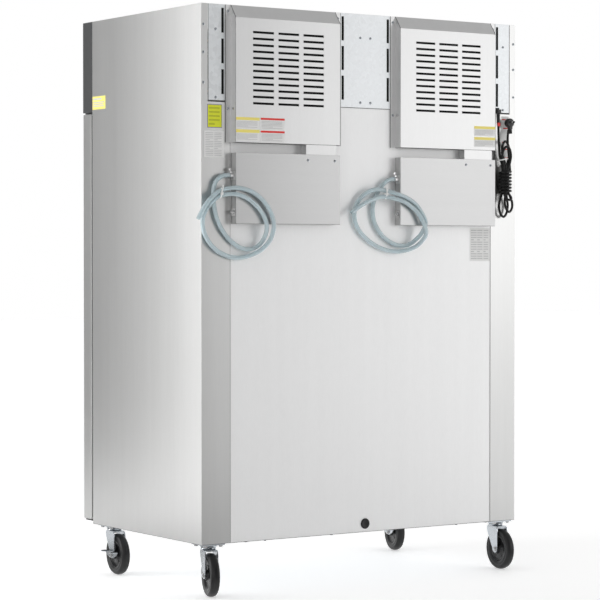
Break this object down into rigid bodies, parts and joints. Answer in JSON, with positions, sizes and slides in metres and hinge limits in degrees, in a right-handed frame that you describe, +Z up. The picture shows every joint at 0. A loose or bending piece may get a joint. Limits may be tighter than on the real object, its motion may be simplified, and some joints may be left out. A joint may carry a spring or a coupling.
{
  "type": "reach-in refrigerator",
  "caption": "Upright stainless reach-in refrigerator on swivel casters, with swing doors, a louvred hood and vent covers, drain hoses and a hanked mains lead at the back.",
  "frame": {"origin": "on the floor, under the middle of the object without its cords", "axes": "+Z up, -Y out of the doors, +Y out of the back, +X to the right seen from the front"},
  "size_m": [1.4088, 0.905, 2.031],
  "materials": {
    "stainless": "satin",
    "rear_sheet": "satin",
    "galvanised": "satin",
    "foam": "matte",
    "liner": "satin",
    "bright_steel": "satin",
    "shelf_wire": "gloss",
    "black_rubber": "matte",
    "dark_grey": "satin",
    "black_plastic": "satin",
    "red_plastic": "gloss",
    "black_paint": "gloss",
    "fin_metal": "satin",
    "copper": "satin",
    "white_plastic": "satin",
    "gasket": "matte",
    "zinc": "satin",
    "tyre": "matte",
    "hose": "gloss",
    "cord": "satin"
  },
  "bodies": {
    "cabinet": {"side_panel_right": "stainless", "side_panel_left": "stainless", "rear_panel": "rear_sheet", "bottom_panel": "galvanised", "top_deck": "galvanised", "insulation": "foam", "liner_right": "liner", "liner_left": "liner", "face_frame": "stainless", "shelf_supports": "bright_steel", "shelves": "shelf_wire", "rear_plug": "black_rubber", "corner_sheets": "galvanised", "centre_sheet": "galvanised", "vent_cover_right": "rear_sheet", "vent_cover_left": "rear_sheet", "condensate_box_right": "rear_sheet", "condensate_box_left": "rear_sheet", "drain_fittings": "bright_steel", "rear_screws": "bright_steel", "hood": "stainless", "hood_caps": "dark_grey", "controller": "black_plastic", "unit_trays": "galvanised", "compressors": "black_paint", "condensers": "fin_metal", "fan_shrouds": "black_paint", "refrigerant_lines": "copper", "evaporators": "liner", "hinge_brackets": "black_paint", "caster_plates": "zinc", "drain_hose_right": "hose", "drain_hose_left": "hose", "power_gland": "black_plastic", "power_cord": "cord", "cord_hank": "cord", "cord_ties": "white_plastic", "plug": "cord"},
    "door_right": {"door_right": "stainless", "door_liner_right": "white_plastic", "gasket_right": "gasket"},
    "condenser_fan_right": {"condenser_fan_right": "fin_metal"},
    "evaporator_fan_right": {"evaporator_fan_right": "white_plastic"},
    "door_left": {"door_left": "stainless", "door_liner_left": "white_plastic", "gasket_left": "gasket"},
    "condenser_fan_left": {"condenser_fan_left": "fin_metal"},
    "evaporator_fan_left": {"evaporator_fan_left": "white_plastic"},
    "power_switch": {"power_switch": "red_plastic"},
    "caster_fork_rear_right": {"caster_fork_rear_right": "zinc"},
    "caster_wheel_rear_right": {"caster_wheel_rear_right": "tyre"},
    "caster_fork_rear_left": {"caster_fork_rear_left": "zinc"},
    "caster_wheel_rear_left": {"caster_wheel_rear_left": "tyre"},
    "caster_fork_front_right": {"caster_fork_front_right": "zinc"},
    "caster_wheel_front_right": {"caster_wheel_front_right": "tyre"},
    "caster_fork_front_left": {"caster_fork_front_left": "zinc"},
    "caster_wheel_front_left": {"caster_wheel_front_left": "tyre"},
    "brake_lever_right": {"brake_lever_right": "zinc"},
    "brake_lever_left": {"brake_lever_left": "zinc"}
  },
  "joints": [
    {"name": "door_right_hinge", "type": "hinge", "parent": "cabinet", "child": "door_right", "pos_m": [0.672, -0.425, 0.181], "axis": [0, 0, 1], "range_deg": [0, 110]},
    {"name": "door_left_hinge", "type": "hinge", "parent": "cabinet", "child": "door_left", "pos_m": [-0.672, -0.425, 0.181], "axis": [0, 0, -1], "range_deg": [0, 110]},
    {"name": "condenser_fan_right_spin", "type": "hinge", "parent": "cabinet", "child": "condenser_fan_right", "pos_m": [0.3495, -0.22, 1.857], "axis": [0, 1, 0], "continuous": true},
    {"name": "evaporator_fan_right_spin", "type": "hinge", "parent": "cabinet", "child": "evaporator_fan_right", "pos_m": [0.3255, 0.138, 1.521], "axis": [0, 1, 0], "continuous": true},
    {"name": "condenser_fan_left_spin", "type": "hinge", "parent": "cabinet", "child": "condenser_fan_left", "pos_m": [-0.3495, -0.22, 1.857], "axis": [0, 1, 0], "continuous": true},
    {"name": "evaporator_fan_left_spin", "type": "hinge", "parent": "cabinet", "child": "evaporator_fan_left", "pos_m": [-0.3255, 0.138, 1.521], "axis": [0, 1, 0], "continuous": true},
    {"name": "power_switch_rock", "type": "hinge", "parent": "cabinet", "child": "power_switch", "pos_m": [0.073, -0.4435, 1.861], "axis": [1, 0, 0], "range_deg": [-16, 0]},
    {"name": "caster_rear_right_swivel", "type": "hinge", "parent": "cabinet", "child": "caster_fork_rear_right", "pos_m": [0.632, 0.3455, 0.16], "axis": [0, 0, 1], "continuous": true},
    {"name": "caster_rear_right_roll", "type": "hinge", "parent": "caster_fork_rear_right", "child": "caster_wheel_rear_right", "pos_m": [0.64106, 0.37515, 0.075], "axis": [0.9563, -0.2924, 0], "continuous": true},
    {"name": "caster_rear_left_swivel", "type": "hinge", "parent": "cabinet", "child": "caster_fork_rear_left", "pos_m": [-0.632, 0.3455, 0.16], "axis": [0, 0, 1], "continuous": true},
    {"name": "caster_rear_left_roll", "type": "hinge", "parent": "caster_fork_rear_left", "child": "caster_wheel_rear_left", "pos_m": [-0.62957, 0.3764, 0.075], "axis": [0.9969, -0.0785, 0], "continuous": true},
    {"name": "caster_front_right_swivel", "type": "hinge", "parent": "cabinet", "child": "caster_fork_front_right", "pos_m": [0.632, -0.3155, 0.16], "axis": [0, 0, 1], "continuous": true},
    {"name": "caster_front_right_roll", "type": "hinge", "parent": "caster_fork_front_right", "child": "caster_wheel_front_right", "pos_m": [0.63389, -0.28456, 0.075], "axis": [0.9981, -0.061, 0], "continuous": true},
    {"name": "caster_front_left_swivel", "type": "hinge", "parent": "cabinet", "child": "caster_fork_front_left", "pos_m": [-0.632, -0.3155, 0.16], "axis": [0, 0, 1], "continuous": true},
    {"name": "caster_front_left_roll", "type": "hinge", "parent": "caster_fork_front_left", "child": "caster_wheel_front_left", "pos_m": [-0.62476, -0.28536, 0.075], "axis": [0.9724, -0.2334, 0], "continuous": true},
    {"name": "brake_right_press", "type": "hinge", "parent": "caster_fork_front_right", "child": "brake_lever_right", "pos_m": [0.63389, -0.28456, 0.075], "axis": [0.9981, -0.061, 0], "range_deg": [0, 14]},
    {"name": "brake_left_press", "type": "hinge", "parent": "caster_fork_front_left", "child": "brake_lever_left", "pos_m": [-0.62476, -0.28536, 0.075], "axis": [0.9724, -0.2334, 0], "range_deg": [0, 14]}
  ]
}
